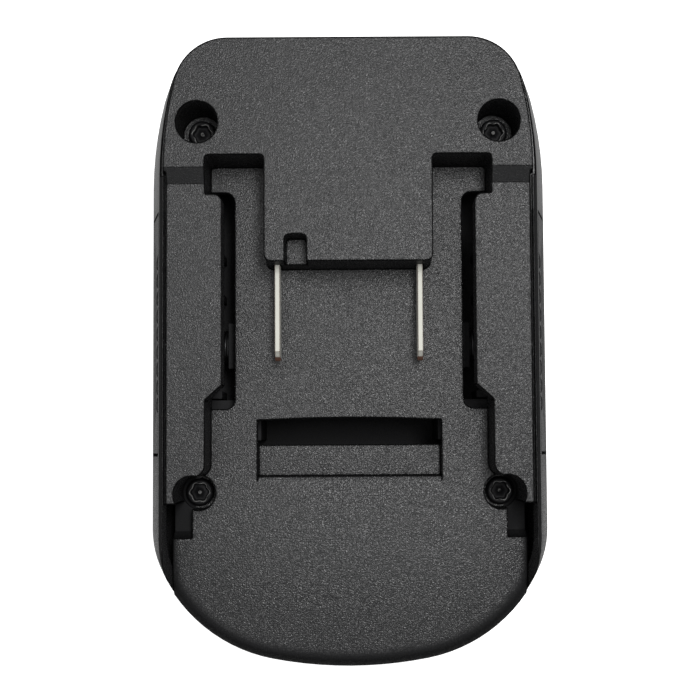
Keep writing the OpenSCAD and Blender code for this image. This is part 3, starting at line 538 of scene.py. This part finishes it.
def sleeve_points(run, normal, inner, outer):
    """Points of a shrink sleeve: a closed profile round a straight run. The profile runs out along the
    outside, swelling in the middle by a sine, and back along the inside."""
    steps = np.linspace(0.0, 1.0, 17)
    swell = inner + (outer - inner) * (0.72 + 0.28 * np.sin(np.pi * steps))
    start, end = run
    outside = start + steps[:, None] * (end - start)
    inside = outside[::-1]
    path = np.concatenate([outside, inside])
    radius = np.concatenate([swell, np.full(len(steps), inner * 1.005)])
    v = np.linspace(0, 2 * np.pi, 32, endpoint=False)
    first = normal / np.linalg.norm(normal)
    along = (end - start) / np.linalg.norm(end - start)
    second = np.cross(along, first)
    circle = np.cos(v)[:, None] * first + np.sin(v)[:, None] * second
    return path[:, None] + radius[:, None, None] * circle[None]


def rounded_path(corners, bend, steps):
    """Points along straight runs joined by quarter circles of the bend's radius, spaced evenly."""
    corners = np.array(corners)
    back = corners[:-2] - corners[1:-1]
    ahead = corners[2:] - corners[1:-1]
    back /= np.linalg.norm(back, axis=1, keepdims=True)
    ahead /= np.linalg.norm(ahead, axis=1, keepdims=True)
    a = np.linspace(0, np.pi / 2, 13)[None, :, None]
    middle = (corners[1:-1] + bend * (back + ahead))[:, None]
    arcs = middle - bend * (ahead[:, None] * np.cos(a) + back[:, None] * np.sin(a))
    raw = np.concatenate([corners[:1], arcs.reshape(-1, 3), corners[-1:]])
    run = np.concatenate([[0.0], np.cumsum(np.linalg.norm(np.diff(raw, axis=0), axis=1))])
    even = np.linspace(0.0, run[-1], steps)
    return np.stack([np.interp(even, run, raw[:, k]) for k in range(3)], -1)


# Pieces in the scene


def add_piece(name, mesh, body, finish, slot, *nodes):
    """Links a new piece at the origin, with its body, and hides the nodes that it stands for. The slot is not
    used.
    """
    piece = bpy.data.objects.new(name, mesh)
    bpy.context.scene.collection.objects.link(piece)
    piece.data.materials.append(finish.material)
    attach(piece, body)
    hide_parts(*nodes)
    return piece


def smooth_tree():
    """Node group that joins a node's loose triangles and smooths all but its sharp edges."""
    found = bpy.data.node_groups.get("smooth_case")
    if found:
        return found
    tree = bpy.data.node_groups.new("smooth_case", "GeometryNodeTree")
    tree.interface.new_socket("Geometry", in_out="INPUT", socket_type="NodeSocketGeometry")
    tree.interface.new_socket("Geometry", in_out="OUTPUT", socket_type="NodeSocketGeometry")
    make, link = tree.nodes.new, tree.links.new
    start, end = make("NodeGroupInput"), make("NodeGroupOutput")
    bare = make("GeometryNodeRemoveAttribute")
    bare.inputs["Name"].default_value = "custom_normal"
    merge = make("GeometryNodeMergeByDistance")
    merge.inputs["Distance"].default_value = WELD
    smooth = make("GeometryNodeSetShadeSmooth")
    angle = make("GeometryNodeInputMeshEdgeAngle")
    sharp = make("FunctionNodeCompare")
    sharp.data_type = "FLOAT"
    sharp.operation = "GREATER_THAN"
    sharp.inputs[1].default_value = CREASE
    crease = make("GeometryNodeSetShadeSmooth")
    crease.domain = "EDGE"
    crease.inputs["Shade Smooth"].default_value = False
    link(start.outputs[0], bare.inputs["Geometry"])
    link(bare.outputs[0], merge.inputs["Geometry"])
    link(merge.outputs[0], smooth.inputs["Geometry"])
    link(smooth.outputs[0], crease.inputs["Geometry"])
    link(angle.outputs[0], sharp.inputs[0])
    link(sharp.outputs[0], crease.inputs["Selection"])
    link(crease.outputs[0], end.inputs[0])
    return tree


def dress_node(node, finish):
    """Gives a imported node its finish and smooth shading."""
    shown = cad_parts[node]
    shown.material_slots[0].material = finish.material
    shown.modifiers.new("smooth", "NODES").node_group = smooth_tree()


# Settings


def colour_prop(name, description, default):
    return bpy.props.FloatVectorProperty(
        name=name, description=description, subtype="COLOR", size=3, min=0.0, max=1.0, default=default)


def length_prop(name, description, default):
    return bpy.props.FloatProperty(
        name=name, description=description, subtype="DISTANCE", unit="LENGTH", default=default, precision=5)


def angle_prop(name, description, degrees):
    return bpy.props.FloatProperty(
        name=name, description=description, subtype="ANGLE", default=math.radians(degrees))


def power_prop(name, description, default):
    return bpy.props.FloatProperty(name=name, description=description, default=default, min=0.0)


class AdapterSizes(bpy.types.PropertyGroup):
    """Fine sizes of the finishes and fasteners."""

    grain: length_prop("Grain", "Width of the cells in the moulded grain", 0.25 * MM)
    grain_depth: length_prop("Grain depth", "Depth of the moulded grain", 0.07 * MM)
    roughness: bpy.props.FloatProperty(
        name="Roughness", description="Roughness of the moulded plastic", subtype="FACTOR", default=0.25,
        min=0.0, max=1.0)
    edge: length_prop("Cover edge", "Reach of the cover's rounded edges", 0.55 * MM)
    rim: length_prop("Rim edge", "Reach of the rounded edges of the base and the buttons", 0.4 * MM)
    panel_y: length_prop("Panel end", "Where the grained flank meets the smooth flank", 27.3 * MM)
    gloss_y: length_prop("Polish start", "Where the polish of the rear flanks begins", 36.0 * MM)
    pitch: length_prop("Thread pitch", "Pitch of the case screws' threads", 1.25 * MM)
    small_pitch: length_prop("Small thread pitch", "Pitch of the small screws' threads", 0.9 * MM)
    turns: bpy.props.IntProperty(
        name="Turns", description="Turns of a button spring", default=6, min=4, max=7)
    lead_level: length_prop("Lead level", "Height of the leads' return run", 22.0 * MM)
    lead_bend: length_prop("Lead bend", "Radius of the leads' bends", 4.04 * MM)


class AdapterColours(bpy.types.PropertyGroup):
    """Colours of the finishes."""

    cover: colour_prop("Cover", "Moulded cover", (0.012, 0.0121, 0.0125))
    base: colour_prop("Base", "Moulded base", (0.018, 0.0181, 0.0187))
    button: colour_prop("Buttons", "Release buttons", (0.018, 0.0181, 0.0187))
    block: colour_prop("Blocks", "Inner blocks", (0.03, 0.03, 0.031))
    blade: colour_prop("Blades", "Tinned blades", (0.44, 0.439, 0.402))
    bare: colour_prop("Blade ends", "Bare metal of the sheared blade ends", (0.1, 0.055, 0.04))
    clip: colour_prop("Clips", "Spring brass clips", (0.78, 0.6, 0.3))
    black_screw: colour_prop("Case screws", "Black coat of the case screws", (0.006, 0.006, 0.0065))
    # Bare steel of the screws' rubbed recess rims, which also paints a highlight there.
    worn_and_highlit: colour_prop("Worn edges", "Bare steel at the worn edges of the screws", (0.5, 0.5, 0.49))
    zinc: colour_prop("Small screws", "Zinc coat of the small screws", (0.6, 0.61, 0.62))
    wire: colour_prop("Springs", "Spring wire", (0.035, 0.035, 0.036))
    red: colour_prop("Red lead", "Insulation of the positive lead", (0.42, 0.018, 0.015))
    black: colour_prop("Black lead", "Insulation of the negative lead", (0.022, 0.022, 0.023))


class AdapterStage(bpy.types.PropertyGroup):
    """Camera, floor and light."""

    camera: bpy.props.FloatVectorProperty(
        name="Camera", description="Place of the camera", subtype="XYZ", unit="LENGTH", size=3,
        default=(0.00018, -0.0170, 0.320))
    tilt: angle_prop("Tilt", "Tilt of the camera from straight down", 3.66)
    roll: angle_prop("Roll", "Turn of the camera about its view", -0.33)
    view: angle_prop("View", "Angle of view", 26.55)
    key: power_prop("Key", "Power of the main soft box", 2.2)
    overhead: power_prop("Overhead", "Power of the wide soft box above", 1.2)
    fill: power_prop("Fill", "Power of the front soft box", 0.03)
    ambient: power_prop("Ambient", "Plain light from all round", 0.4)


def sizes():
    return bpy.context.scene.adapter_sizes


def colours():
    return bpy.context.scene.adapter_colours


# Operators


class ADAPTER_OT_case(bpy.types.Operator):
    """Finish the cover and the base"""

    bl_idname = "adapter.case"
    bl_label = "Case"

    def execute(self, context):
        s, c = sizes(), colours()
        cover = moulded(
            "cover_grain", c.cover, s.grain, s.grain_depth, s.roughness, s.edge,
            # inside paints shade in the cover's side pockets, below their tops.
            inside=lambda x, y, z: abs(x).rise(*COVER_SIDE) * (1.0 - z.rise(*COVER_SIDE_TOP)),
            # fade paints shade on the level faces along the apron's sides, towards the front.
            fade=lambda x, y, z: abs(x).rise(*APRON_SIDE) * (1.0 - y.rise(*APRON_REAR)))
        panel_end = (s.panel_y - 0.1 * MM, s.panel_y + 0.1 * MM)
        polish_start = (s.gloss_y - 1.2 * MM, s.gloss_y + 1.6 * MM)
        base = moulded(
            "base_grain", c.base, s.grain, s.grain_depth, s.roughness, s.rim,
            smooth=lambda x, y, z: y.rise(*panel_end) * z.rise(*FLANK_FOOT),
            gloss=lambda x, y, z: y.rise(*polish_start) * z.rise(*FLANK_FOOT),
            inside=tub_inside_shade)
        dress_node("top_cover", cover)
        dress_node("base_shell", base)
        return {"FINISHED"}


class ADAPTER_OT_buttons(bpy.types.Operator):
    """Finish the release buttons"""

    bl_idname = "adapter.buttons"
    bl_label = "Release buttons"

    def execute(self, context):
        s, c = sizes(), colours()
        finish = moulded(
            "button_grain", c.button, s.grain, s.grain_depth, s.roughness, s.rim,
            # inside paints shade on the buttons' inner parts.
            inside=lambda x, y, z: x.within(BUTTON_INSIDE))
        for side in ("right", "left"):
            dress_node("release_button_" + side, finish)
        return {"FINISHED"}


class ADAPTER_OT_contacts(bpy.types.Operator):
    """Finish the blades, the clips and the blocks that hold them"""

    bl_idname = "adapter.contacts"
    bl_label = "Contacts"

    def execute(self, context):
        c = colours()
        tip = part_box("blade_positive")[0].y
        tinned = tinned_strip("tinned_strip", c.blade, c.bare, roughness=0.7, end_y=tip, end=0.8 * MM)
        brass = strip_metal("spring_brass", c.clip, roughness=0.36, along=(1.0, 0.05, 1.0))
        block = plain_plastic("block_plastic", c.block, roughness=0.5)
        for pole in ("positive", "negative"):
            dress_node("blade_" + pole, tinned)
            dress_node("contact_clip_" + pole, brass)
        for node in ("terminal_block", "contact_carrier"):
            dress_node(node, block)
        return {"FINISHED"}


def screw_piece(node, finish, slot, pitch, lobes, pin, flip):
    """Makes the detailed screws of one node from that node's box: equal screws at plus and minus x."""
    low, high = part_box(node)
    head_d = high.y - low.y
    head_h = head_d * (0.4 if pin else 0.381)
    x, y = high.x - head_d / 2, (low.y + high.y) / 2
    seat = low.z + head_h if flip else high.z - head_h
    length = (high.z - low.z) - head_h
    shank_d = head_d * (0.5455 if pin else 0.5238)
    mesh = screw_mesh(
        node + "_cut", [(x, y, seat), (-x, y, seat)], flip, head_d=head_d, head_h=head_h, shank_d=shank_d,
        length=length, pitch=pitch, lobes=lobes, pin=pin)
    add_piece(node + "_cut", mesh, "case", finish, slot, node)


class ADAPTER_OT_screws(bpy.types.Operator):
    """Make the case screws and the small screws"""

    bl_idname = "adapter.screws"
    bl_label = "Screws"

    def execute(self, context):
        s, c = sizes(), colours()
        black = coated_steel("black_coat", c.black_screw, c.worn_and_highlit, roughness=0.46, metallic=0.0, gloss=0.05)
        zinc = coated_steel("zinc_coat", c.zinc, c.worn_and_highlit, roughness=0.34, metallic=0.85, gloss=0.5)
        for node in ("rear_case_screws", "front_case_screws"):
            screw_piece(node, black, "black_steel", s.pitch, lobes=6, pin=True, flip=False)
        for node, flip in (("terminal_block_screws", True), ("contact_carrier_screws", False)):
            screw_piece(node, zinc, "zinc_steel", s.small_pitch, lobes=4, pin=False, flip=flip)
        return {"FINISHED"}


class ADAPTER_OT_springs(bpy.types.Operator):
    """Wind the button springs at the length of their nodes"""

    bl_idname = "adapter.springs"
    bl_label = "Button springs"

    def execute(self, context):
        finish = strip_metal("spring_wire", colours().wire, roughness=0.45, along=(0.1, 1.0, 1.0))
        turns = sizes().turns
        for side, sign in (("right", 1.0), ("left", -1.0)):
            node = "button_spring_" + side
            low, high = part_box(node)
            length = high.x - low.x
            radius = (high.y - low.y) / 2 - WIRE_RADIUS
            t = np.linspace(0.0, 1.0, turns * COIL_STEPS + 1)
            ends = np.array([0.0, 1.0, turns - 1.0, turns]) / turns
            rise = length - 2 * WIRE_RADIUS
            along = np.interp(t, ends, np.array([0.0, END_COIL_RISE, rise - END_COIL_RISE, rise]))
            x = low.x + WIRE_RADIUS + along if sign > 0 else high.x - WIRE_RADIUS - along
            a = 2 * np.pi * turns * t
            ring = np.stack([np.zeros_like(a), np.cos(a), np.sin(a)], -1)
            middle = np.array([0.0, (low.y + high.y) / 2, (low.z + high.z) / 2])
            path = middle + radius * ring
            path[:, 0] = x
            tube = tube_points(path, ring, WIRE_RADIUS, 12)
            mesh = shell_mesh(node + "_coil", grid_shell(tube, poles=True))
            coil = add_piece(node + "_coil", mesh, "case", finish, "spring_steel", node)
            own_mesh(coil)
        return {"FINISHED"}


class ADAPTER_OT_leads(bpy.types.Operator):
    """Lay the leads and their shrink sleeves"""

    bl_idname = "adapter.leads"
    bl_label = "Leads"

    def execute(self, context):
        s, c = sizes(), colours()
        for pole, shown, colour in (("positive", "red", c.red), ("negative", "black", c.black)):
            node, sleeves = "lead_" + pole, "lead_sleeves_" + pole
            low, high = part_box(node)
            radius = (high.x - low.x) / 2
            x = (low.x + high.x) / 2
            top, rear, front = high.z - radius, high.y - radius, low.y + radius
            low_s, high_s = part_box(sleeves)
            outer = (high_s.x - low_s.x) / 2
            corners = [
                (x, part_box("terminal_block")[1].y + MM, top), (x, rear, top), (x, rear, s.lead_level),
                (x, front, s.lead_level), (x, front, low.z)]
            path = rounded_path(corners, s.lead_bend, 120)
            normals = np.tile([1.0, 0.0, 0.0], (len(path), 1))
            skin = lead_skin("lead_skin_" + pole, colour)
            mesh = shell_mesh(node + "_skin", grid_shell(tube_points(path, normals, radius, 20), poles=True))
            add_piece(node + "_skin", mesh, "case", skin, "lead_" + shown, node)
            upper = np.array([(x, high_s.y - SLEEVE_LENGTH, top), (x, high_s.y, top)])
            lower = np.array([(x, front, low_s.z), (x, front, low_s.z + SLEEVE_LENGTH)])
            shells = (
                grid_shell(sleeve_points(run, normals[0], radius, outer), close_u=True)
                for run in (upper, lower))
            cover = lead_skin("sleeve_skin_" + pole, shade(colour, 0.7))
            mesh = shell_mesh(sleeves + "_shrunk", *shells)
            add_piece(sleeves + "_shrunk", mesh, "case", cover, "sleeve_" + shown, sleeves)
        return {"FINISHED"}


def soft_box(name, place, aim, width, height, power):
    """A rectangular soft box that looks at a point, with its width level along X."""
    data = bpy.data.lights.new(name, "AREA")
    data.shape = "RECTANGLE"
    data.size, data.size_y, data.energy = width, height, power
    lamp = bpy.data.objects.new(name, data)
    bpy.context.scene.collection.objects.link(lamp)
    lamp.location = place
    way = (Vector(aim) - Vector(place)).normalized()
    lamp.rotation_euler = (math.asin(way.y), math.atan2(-way.x, -way.z), 0.0)


def seen_directly(finish):
    """1 for rays that show the background: from the camera, from gloss and through glass."""
    path = finish.node("ShaderNodeLightPath")
    shown = path.out("Is Camera Ray") + path.out("Is Glossy Ray") + path.out("Is Transmission Ray")
    return shown.rise(0.0, 1.0)


class Backdrop(Finish):
    """The world's node tree, with the same way of writing nodes."""

    def __init__(self, world):
        world.use_nodes = True
        self.tree = world.node_tree
        self.tree.nodes.clear()
        self.output = self.tree.nodes.new("ShaderNodeOutputWorld")


class ADAPTER_OT_stage(bpy.types.Operator):
    """Set the camera, the floor and the light"""

    bl_idname = "adapter.stage"
    bl_label = "Stage"

    def execute(self, context):
        scene, s = context.scene, context.scene.adapter_stage
        scene.view_settings.view_transform = "Standard"
        data = bpy.data.cameras.new("camera")
        data.sensor_fit = "HORIZONTAL"
        data.angle = s.view
        data.clip_start = 0.01
        camera = bpy.data.objects.new("camera", data)
        scene.collection.objects.link(camera)
        camera.matrix_world = (
            Matrix.Translation(s.camera) @ Matrix.Rotation(s.tilt, 4, "X") @ Matrix.Rotation(s.roll, 4, "Z"))
        scene.camera = camera

        ground = np.linspace(-FLOOR_REACH, FLOOR_REACH, 2)
        x, y = np.meshgrid(ground, ground, indexing="ij")
        level = np.stack([x, y, np.full_like(x, FLOOR_LEVEL)], -1)
        mesh = shell_mesh("floor", grid_shell(level, close_v=False))
        floor = bpy.data.objects.new("floor", mesh)
        scene.collection.objects.link(floor)
        paper = Finish("pale_floor", Roughness=0.9)
        place = paper.place()
        fibre = paper.noise(place, 0.002, 2.0)
        paper.feed("Base Color", paper.tint(fibre, (0.78, 0.78, 0.78), (0.82, 0.82, 0.82)))
        glow = paper.node("ShaderNodeEmission", None, {"Strength": seen_directly(paper) * 0.8}).out()
        skin = Value(paper, paper.shader.outputs[0])
        both = paper.node("ShaderNodeAddShader", None, {0: skin, 1: glow}).out()
        paper.tree.links.new(both.socket, paper.output.inputs["Surface"])
        floor.data.materials.append(paper.material)

        world = bpy.data.worlds.new("studio")
        scene.world = world
        sky = Backdrop(world)
        shown = seen_directly(sky)
        light = sky.node("ShaderNodeBackground", None, {
            "Color": (1.0, 1.0, 1.0, 1.0), "Strength": shown * (1.0 - s.ambient) + s.ambient}).out()
        sky.tree.links.new(light.socket, sky.output.inputs["Surface"])

        soft_box("key", (0.08, 0.09, 0.60), STAGE_MIDDLE, width=0.08, height=0.20, power=s.key)
        soft_box("overhead", (0.0, 0.08, 0.62), (0.0, 0.08, 0.03), width=0.36, height=0.40, power=s.overhead)
        soft_box("fill", (-0.15, -0.45, 0.5), STAGE_MIDDLE, width=0.5, height=0.4, power=s.fill)
        return {"FINISHED"}


PIECES = (
    ADAPTER_OT_stage, ADAPTER_OT_case, ADAPTER_OT_buttons, ADAPTER_OT_contacts, ADAPTER_OT_screws,
    ADAPTER_OT_springs, ADAPTER_OT_leads)


class ADAPTER_PT_panel(bpy.types.Panel):
    """Lists the adapter's pieces"""

    bl_idname = "ADAPTER_PT_panel"
    bl_label = "Battery adapter"
    bl_space_type = "VIEW_3D"
    bl_region_type = "UI"
    bl_category = "Adapter"

    def draw(self, context):
        for piece in PIECES:
            self.layout.operator(piece.bl_idname)
        for group in ("adapter_sizes", "adapter_colours", "adapter_stage"):
            settings = getattr(context.scene, group)
            box = self.layout.box()
            for name in settings.__annotations__:
                box.prop(settings, name)


CLASSES = (AdapterSizes, AdapterColours, AdapterStage, *PIECES, ADAPTER_PT_panel)


def register():
    for cls in CLASSES:
        bpy.utils.register_class(cls)
    bpy.types.Scene.adapter_sizes = bpy.props.PointerProperty(type=AdapterSizes)
    bpy.types.Scene.adapter_colours = bpy.props.PointerProperty(type=AdapterColours)
    bpy.types.Scene.adapter_stage = bpy.props.PointerProperty(type=AdapterStage)


def unregister():
    del bpy.types.Scene.adapter_stage
    del bpy.types.Scene.adapter_colours
    del bpy.types.Scene.adapter_sizes
    for cls in reversed(CLASSES):
        bpy.utils.unregister_class(cls)


def main():
    register()
    bpy.ops.adapter.stage()
    bpy.ops.adapter.case()
    bpy.ops.adapter.buttons()
    bpy.ops.adapter.contacts()
    bpy.ops.adapter.screws()
    bpy.ops.adapter.springs()
    bpy.ops.adapter.leads()


if __name__ == "__main__":
    main()
